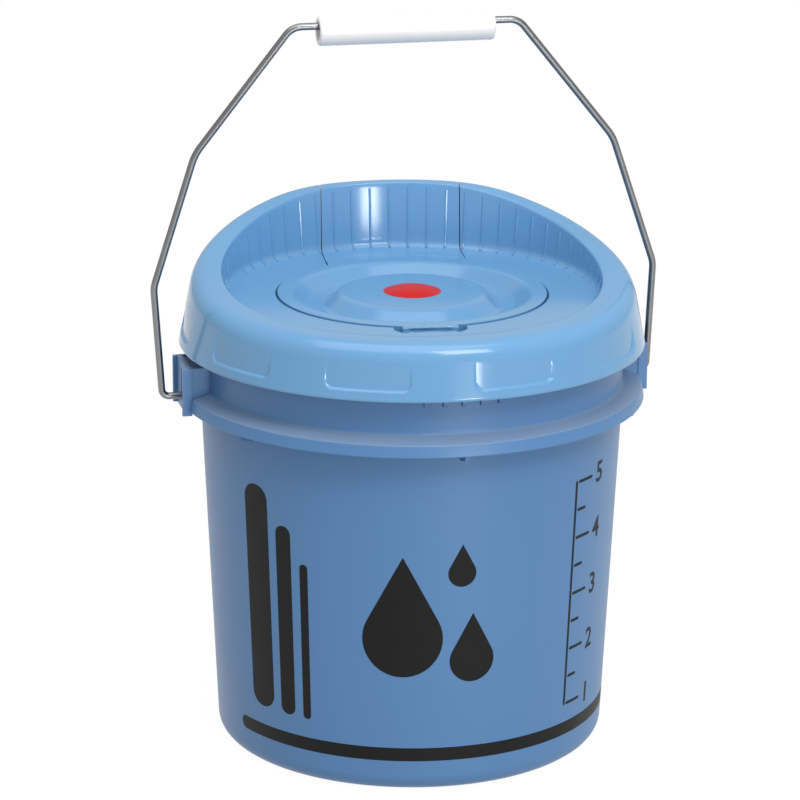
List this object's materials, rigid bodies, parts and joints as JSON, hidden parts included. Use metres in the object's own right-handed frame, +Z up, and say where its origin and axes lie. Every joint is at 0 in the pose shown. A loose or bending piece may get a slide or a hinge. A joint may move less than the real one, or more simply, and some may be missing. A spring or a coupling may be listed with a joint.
{
  "type": "wipe roll dispenser bucket",
  "caption": "Blue plastic bucket for a centre-pull roll of wipes, with a wire bail and grip, a push-on lid with a scooped rim, and a hinged flip cover over the wipe nozzle.",
  "frame": {"origin": "middle of the bucket's flat base", "axes": "+Z up; the bail's axis is along X; the bucket's front faces -Y"},
  "size_m": [0.2615, 0.2388, 0.375],
  "materials": {
    "bucket_plastic": "satin blue polypropylene",
    "lid_plastic": "glossy light blue polypropylene",
    "nozzle_plastic": "matt white",
    "grip_plastic": "glossy white",
    "steel": "galvanised",
    "gasket_rubber": "matt",
    "red_rubber": "satin red",
    "wipes": "white nonwoven"
  },
  "bodies": {
    "bucket": {"bucket": "bucket_plastic", "bucket_floor": "bucket_plastic", "bucket_flange": "bucket_plastic", "wipe_roll": "wipes"},
    "bail": {"bail_wire": "steel"},
    "grip": {"bail_grip": "grip_plastic"},
    "lid": {"lid": "lid_plastic", "lid_gasket": "gasket_rubber", "cover_hinge_pin": "steel", "dispensing_nozzle": "nozzle_plastic", "nozzle_ring": "nozzle_plastic"},
    "cover": {"flip_cover": "lid_plastic", "orifice_stopper": "red_rubber", "cover_seal": "gasket_rubber"}
  },
  "joints": [
    {"name": "bail", "type": "hinge", "parent": "bucket", "child": "bail", "pos_m": [0, 0, 0.184], "axis": [1, 0, 0], "range_deg": [-143, 137]},
    {"name": "grip", "type": "hinge", "parent": "bail", "child": "grip", "pos_m": [-0.0065, -0.00963, 0.36775], "axis": [1, 0, 0], "continuous": true},
    {"name": "lid", "type": "slide", "parent": "bucket", "child": "lid", "axis": [0, 0, 1], "range_m": [0, 0.03]},
    {"name": "cover", "type": "hinge", "parent": "lid", "child": "cover", "pos_m": [0.01206, 0.11286, 0.211], "axis": [-0.9943, 0.1063, 0], "range_deg": [0, 100]}
  ]
}
